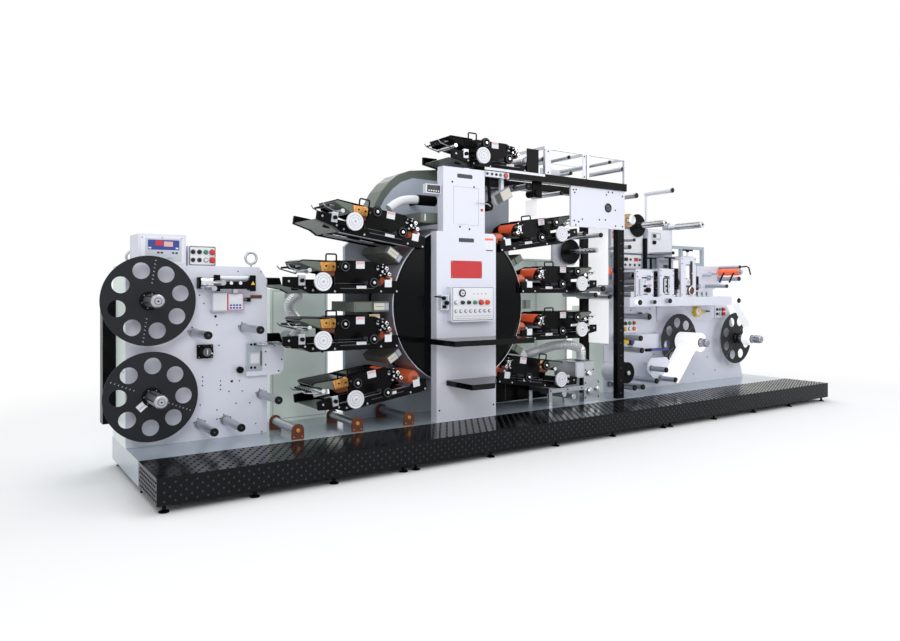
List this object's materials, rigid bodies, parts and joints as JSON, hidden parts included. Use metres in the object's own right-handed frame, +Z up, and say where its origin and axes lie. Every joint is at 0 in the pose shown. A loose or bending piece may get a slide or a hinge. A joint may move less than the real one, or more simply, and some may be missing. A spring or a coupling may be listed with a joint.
{
  "type": "rotary letterpress",
  "caption": "Long rotary letterpress for labels: reel stand, satellite print units round one large drum, portal with idlers, and a finishing end with die stations and winders.",
  "frame": {"origin": "under the middle of the machine's box, on the floor", "axes": "+X along the machine from the reel stand to the finishing end, -Y towards the operator, +Z up"},
  "size_m": [7.3117, 1.3962, 2.566],
  "materials": {
    "aluminium": "satin",
    "black_paint": "gloss",
    "black_plastic": "matte",
    "chrome": "polished",
    "copper_brown": "satin",
    "grey_paint": "satin",
    "orange_rubber": "satin",
    "steel": "brushed",
    "tread_black": "satin",
    "white_paint": "satin",
    "white_plastic": "gloss"
  },
  "bodies": {
    "machine_frame": {"air_ducts": "aluminium", "arch_cover": "grey_paint", "base_frame": "grey_paint", "cabinets": "grey_paint", "column": "white_paint", "column_treads": "tread_black", "console": "white_paint", "console_buttons": "black_plastic", "control_boxes": "white_paint", "die_station_cheeks": "white_paint", "die_station_cylinders": "steel", "drying_lamps": "grey_paint", "eye_bolts": "steel", "floor_roller_brackets": "copper_brown", "guard_frame": "grey_paint", "hanging_panel": "white_paint", "idler_rollers": "aluminium", "left_plate": "white_paint", "levelling_feet": "black_paint", "main_wall": "grey_paint", "middle_reel_arm": "white_paint", "nip_roller_plate": "white_paint", "plate_cylinders": "orange_rubber", "portal": "black_paint", "rear_guard": "black_paint", "right_plate": "white_paint", "splice_table": "white_paint", "station_bed": "white_paint", "step_deck": "tread_black", "tension_gauge": "black_plastic", "top_frame": "aluminium", "unit_dials": "white_plastic", "unit_left_1_bed": "black_paint", "unit_left_2_bed": "black_paint", "unit_left_3_bed": "black_paint", "unit_left_4_bed": "black_paint", "unit_right_1_bed": "black_paint", "unit_right_2_bed": "black_paint", "unit_right_3_bed": "black_paint", "unit_right_4_bed": "black_paint", "unit_top_bed": "black_paint", "web_guide_bracket": "black_paint", "winder_boxes": "white_paint", "winder_mast": "grey_paint", "winder_shafts": "chrome"},
    "impression_drum": {"impression_drum": "black_paint"},
    "left_reel_upper": {"left_reel_upper": "black_paint"},
    "left_reel_lower": {"left_reel_lower": "black_paint"},
    "right_reel_left": {"right_reel_left": "black_paint"},
    "right_reel_right": {"right_reel_right": "black_paint"},
    "middle_reel": {"middle_reel": "black_paint"},
    "unit_left_1_carriage": {"unit_left_1_carriage": "black_paint"},
    "unit_right_1_carriage": {"unit_right_1_carriage": "black_paint"},
    "unit_left_2_carriage": {"unit_left_2_carriage": "black_paint"},
    "unit_right_2_carriage": {"unit_right_2_carriage": "black_paint"},
    "unit_left_3_carriage": {"unit_left_3_carriage": "black_paint"},
    "unit_right_3_carriage": {"unit_right_3_carriage": "black_paint"},
    "unit_left_4_carriage": {"unit_left_4_carriage": "black_paint"},
    "unit_right_4_carriage": {"unit_right_4_carriage": "black_paint"},
    "unit_top_carriage": {"unit_top_carriage": "black_paint"}
  },
  "joints": [
    {"name": "drum_turn", "type": "hinge", "parent": "machine_frame", "child": "impression_drum", "pos_m": [-1.00102, 0.10185, 1.125], "axis": [0, 1, 0], "continuous": true},
    {"name": "left_upper_reel_turn", "type": "hinge", "parent": "machine_frame", "child": "left_reel_upper", "pos_m": [-3.359, 0.10185, 1.18], "axis": [0, 1, 0], "continuous": true},
    {"name": "left_lower_reel_turn", "type": "hinge", "parent": "machine_frame", "child": "left_reel_lower", "pos_m": [-3.345, 0.10185, 0.548], "axis": [0, 1, 0], "continuous": true},
    {"name": "right_reel_left_turn", "type": "hinge", "parent": "machine_frame", "child": "right_reel_left", "pos_m": [2.08398, 0.10185, 0.695], "axis": [0, 1, 0], "continuous": true},
    {"name": "right_reel_right_turn", "type": "hinge", "parent": "machine_frame", "child": "right_reel_right", "pos_m": [3.13098, 0.10185, 0.688], "axis": [0, 1, 0], "continuous": true},
    {"name": "middle_reel_turn", "type": "hinge", "parent": "machine_frame", "child": "middle_reel", "pos_m": [0.52998, 0.10185, 1.626], "axis": [0, 1, 0], "continuous": true},
    {"name": "unit_left_1_slide", "type": "slide", "parent": "machine_frame", "child": "unit_left_1_carriage", "axis": [-0.9903, 0, 0.1392], "range_m": [0, 0.14]},
    {"name": "unit_right_1_slide", "type": "slide", "parent": "machine_frame", "child": "unit_right_1_carriage", "axis": [0.9903, 0, 0.1392], "range_m": [-0.14, 0]},
    {"name": "unit_left_2_slide", "type": "slide", "parent": "machine_frame", "child": "unit_left_2_carriage", "axis": [-1, 0, 0], "range_m": [0, 0.14]},
    {"name": "unit_right_2_slide", "type": "slide", "parent": "machine_frame", "child": "unit_right_2_carriage", "axis": [1, 0, 0], "range_m": [-0.14, 0]},
    {"name": "unit_left_3_slide", "type": "slide", "parent": "machine_frame", "child": "unit_left_3_carriage", "axis": [-1, 0, 0], "range_m": [0, 0.14]},
    {"name": "unit_right_3_slide", "type": "slide", "parent": "machine_frame", "child": "unit_right_3_carriage", "axis": [1, 0, 0], "range_m": [-0.14, 0]},
    {"name": "unit_left_4_slide", "type": "slide", "parent": "machine_frame", "child": "unit_left_4_carriage", "axis": [-0.9903, 0, -0.1392], "range_m": [-0.14, 0]},
    {"name": "unit_right_4_slide", "type": "slide", "parent": "machine_frame", "child": "unit_right_4_carriage", "axis": [0.9903, 0, -0.1392], "range_m": [0, 0.14]},
    {"name": "unit_top_slide", "type": "slide", "parent": "machine_frame", "child": "unit_top_carriage", "axis": [-1, 0, 0], "range_m": [-0.14, 0]}
  ]
}
